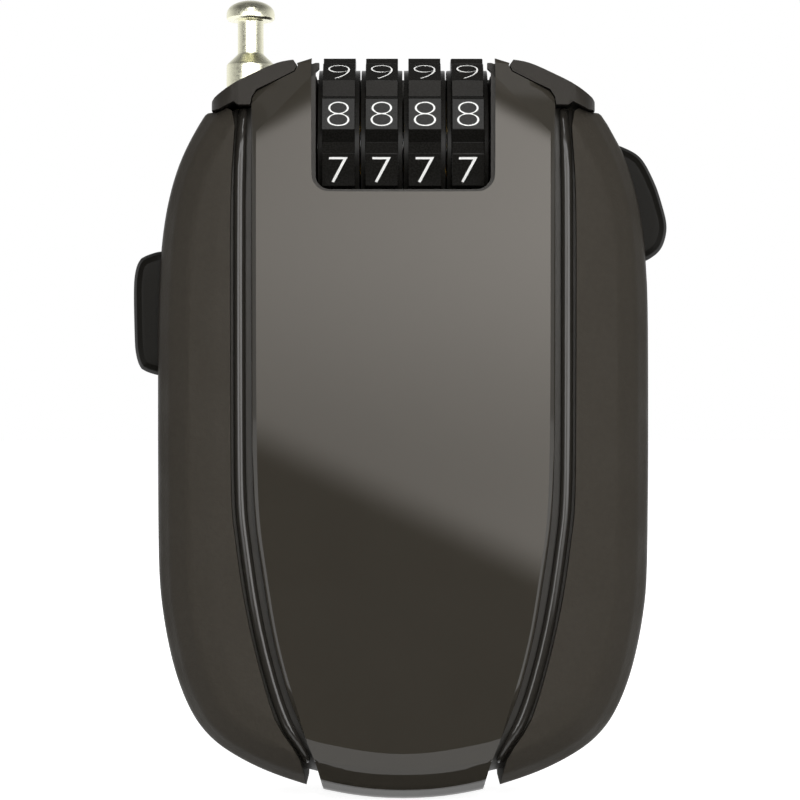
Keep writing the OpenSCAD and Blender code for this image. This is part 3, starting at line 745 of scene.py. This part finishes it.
class LOCK_OT_stage(bpy.types.Operator):
    """Set up the camera, the pale floor, the lamps and the world"""

    bl_idname = "lock.stage"
    bl_label = "Stage"

    def execute(self, context):
        scene = context.scene
        bpy.ops.object.camera_add(location=CAMERA_PLACE, rotation=(math.radians(90), 0, 0))
        camera = bpy.context.object
        camera.data.sensor_fit = "HORIZONTAL"
        camera.data.angle = 2 * math.atan(PICTURE_WIDTH / 2 / -CAMERA_PLACE[1])
        camera.data.clip_start, camera.data.clip_end = CLIP
        scene.camera = camera
        self.floor()
        self.world(scene)
        for lamp in LAMPS:
            area_lamp(*lamp)
        self.panel_card()
        y = -CARD_DISTANCE
        for name, (left, right), (foot, top), brightness in CARDS:
            self.plain_card(name, (left, y, foot), (right, y, top), brightness)
        self.mats()
        scene.view_settings.view_transform = "Standard"
        return {"FINISHED"}

    def floor(self):
        """Pale floor, white to the camera and in mirrors, that keeps the lock's shadow."""
        deselect()
        bpy.ops.mesh.primitive_plane_add(size=FLOOR_SIZE, location=(0, 0, 0))
        floor = bpy.context.object
        floor.name = "floor"
        f = Finish("pale floor", 0.8)
        f.colour((0.55, 0.55, 0.55), 0.01, f.noise(0.2))
        ray = f.add("ShaderNodeLightPath").outputs
        mirrored = math_node(
            f.tree, "ADD", ray["Is Glossy Ray"], ray["Is Transmission Ray"], clamp=True)
        shown = math_node(f.tree, "ADD", ray["Is Camera Ray"], mirrored, clamp=True)
        glow = f.add("ShaderNodeEmission")
        glow.inputs["Color"].default_value = (1, 1, 1, 1)
        f.link(math_node(f.tree, "MULTIPLY", shown, FLOOR_GLOW), glow.inputs["Strength"])
        both = f.add("ShaderNodeAddShader")
        f.link(f.shader.outputs["BSDF"], both.inputs[0])
        f.link(glow.outputs["Emission"], both.inputs[1])
        f.link(both.outputs[0], f.tree.nodes["Material Output"].inputs["Surface"])
        floor.data.materials.append(f.material)

    def world(self, scene):
        """White behind the lock; darker towards the camera and overhead, as surfaces mirror it."""
        world = bpy.data.worlds.new("studio")
        scene.world = world
        world.use_nodes = True
        tree = world.node_tree
        place = tree.nodes.new("ShaderNodeTexCoord")
        way = tree.nodes.new("ShaderNodeSeparateXYZ")
        tree.links.new(place.outputs["Generated"], way.inputs["Vector"])
        ray = tree.nodes.new("ShaderNodeLightPath").outputs
        depth = map_range(tree, way.outputs["Y"], *WORLD_DEPTH)
        height = map_range(tree, way.outputs["Z"], *WORLD_HEIGHT)
        strength = math_node(tree, "MULTIPLY", depth, height)
        strength = mix(tree, ray["Is Glossy Ray"], WORLD_ON_DULL, strength)
        strength = mix(tree, ray["Is Transmission Ray"], strength, 1.0)
        strength = mix(tree, ray["Is Camera Ray"], strength, 1.0)
        background = tree.nodes["Background"]
        background.inputs["Color"].default_value = (1, 1, 1, 1)
        tree.links.new(strength, background.inputs["Strength"])

    def plane(self, name, low, high):
        """Upright or lying rectangle between two corners, seen in reflections alone."""
        deselect()
        bpy.ops.mesh.primitive_plane_add(size=1, location=(0, 0, 0))
        sheet = bpy.context.object
        sheet.name = name
        low, high = Vector(low), Vector(high)
        size, middle = high - low, (low + high) / 2
        if size.z > 0:
            bpy.ops.transform.rotate(
                value=math.radians(90), orient_axis="X", center_override=(0, 0, 0))
            bpy.ops.object.transform_apply(location=False, rotation=True, scale=False)
        scale = [side or 1.0 for side in size]
        sheet.data.transform(Matrix.Diagonal((*scale, 1)))
        sheet.data.transform(Matrix.Translation(middle))
        sheet.visible_camera = False
        sheet.visible_diffuse = False
        sheet.visible_shadow = False
        return sheet

    def glow(self, name):
        """An emitting material, its tree and its Emission node."""
        material = bpy.data.materials.new(name)
        material.use_nodes = True
        tree = material.node_tree
        tree.nodes.remove(tree.nodes["Principled BSDF"])
        glow = tree.nodes.new("ShaderNodeEmission")
        tree.links.new(glow.outputs["Emission"], tree.nodes["Material Output"].inputs["Surface"])
        return material, tree, glow

    def plain_card(self, name, low, high, brightness):
        sheet = self.plane(name, low, high)
        material, _, glow = self.glow(name)
        glow.inputs["Strength"].default_value = brightness
        sheet.data.materials.append(material)

    def panel_card(self):
        """Card that the panel mirrors, laid out by where each part is seen on the panel."""
        y = -PANEL_CARD_DISTANCE
        panel_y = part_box("front_panel")[0].y
        # a size on the card for each size on the panel
        reach = 1 + (panel_y - y) / (panel_y - CAMERA_PLACE[1])
        width = PANEL_CARD_HALF_WIDTH * reach
        top = reach * PANEL_CARD_TOP - (reach - 1) * CAMERA_PLACE[2]
        sheet = self.plane("panel card", (-width, y, 0.0), (width, y, top))
        material, tree, glow = self.glow("lit card")

        def calculate(operation, *values):
            return math_node(tree, operation, *values)

        def step(value, edge):
            """0 to 1 where the value passes a soft edge"""
            middle, half = edge
            return map_range(tree, value, middle - half, middle + half, kind="SMOOTHSTEP")

        place = tree.nodes.new("ShaderNodeTexCoord")
        mapping = tree.nodes.new("ShaderNodeMapping")
        mapping.inputs["Scale"].default_value = (1 / reach, 1, 1 / reach)
        mapping.inputs["Location"].default_value = [c * (reach - 1) / reach for c in CAMERA_PLACE]
        parts = tree.nodes.new("ShaderNodeSeparateXYZ")
        tree.links.new(place.outputs["Object"], mapping.inputs["Vector"])
        tree.links.new(mapping.outputs["Vector"], parts.inputs["Vector"])
        x, z = parts.outputs["X"], parts.outputs["Z"]

        # Brighter upwards and to the right
        upwards = calculate("MULTIPLY_ADD", step(z, DIM_BELOW), EXTRA_LIGHT, DIM_LIGHT)
        sideways = calculate("MULTIPLY_ADD", x, LIGHT_RISE_TO_RIGHT, 1.0)
        brightness = calculate("MULTIPLY", upwards, sideways)
        # Lower edge, slanting down to the right, and upper edges like a gable
        low = step(calculate("MULTIPLY_ADD", x, LOWER_SLOPE, z), LOWER_EDGE)
        gable = calculate("MULTIPLY_ADD", calculate("ABSOLUTE", x), GABLE_SLOPE, z)
        high = calculate("SUBTRACT", 1.0, step(gable, GABLE_EDGE))
        shaded = calculate("MULTIPLY", brightness, calculate("MULTIPLY", low, high))
        # Weak light above the right slope of the gable
        above = calculate("MULTIPLY", step(gable, ABOVE_GABLE), step(x, ABOVE_SIDE))
        lit = calculate("MULTIPLY_ADD", above, ABOVE_LIGHT, shaded)
        tree.links.new(calculate("MULTIPLY", lit, looks().card_light), glow.inputs["Strength"])
        glow.inputs["Color"].default_value = PANEL_CARD_COLOUR
        sheet.data.materials.append(material)

    def mats(self):
        """Dark mats for the panel to mirror; the strip under the foot is painted shadow, standing
        in for the contact shadow that the glowing floor does not show in reflections.
        """
        for name, low, high in MATS:
            sheet = self.plane(name, low, high)
            f = Finish("dark " + name, 0.9, specular=0.0)
            f.colour((0.02, 0.02, 0.02), 0.05, f.noise(0.05))
            sheet.data.materials.append(f.material)


OPERATORS = (
    LOCK_OT_stage,
    LOCK_OT_finishes,
    LOCK_OT_case,
    LOCK_OT_buttons,
    LOCK_OT_springs,
    LOCK_OT_metalwork,
    LOCK_OT_wheels,
)


class LOCK_PT_looks(bpy.types.Panel):
    """Sizes, colours and steps of the lock"""

    bl_idname = "LOCK_PT_looks"
    bl_label = "Cable lock"
    bl_space_type = "VIEW_3D"
    bl_region_type = "UI"
    bl_category = "Cable lock"

    def draw(self, context):
        for name in LockLooks.__annotations__:
            self.layout.prop(context.scene.lock_looks, name)
        for operator in OPERATORS:
            self.layout.operator(operator.bl_idname)


CLASSES = (LockLooks, *OPERATORS, LOCK_PT_looks)


def register():
    for cls in CLASSES:
        bpy.utils.register_class(cls)
    bpy.types.Scene.lock_looks = PointerProperty(type=LockLooks)


def unregister():
    del bpy.types.Scene.lock_looks
    for cls in reversed(CLASSES):
        bpy.utils.unregister_class(cls)


def main():
    register()
    bpy.ops.lock.stage()
    bpy.ops.lock.finishes()
    bpy.ops.lock.case()
    bpy.ops.lock.buttons()
    bpy.ops.lock.springs()
    bpy.ops.lock.metalwork()
    bpy.ops.lock.wheels()


if __name__ == "__main__":
    main()
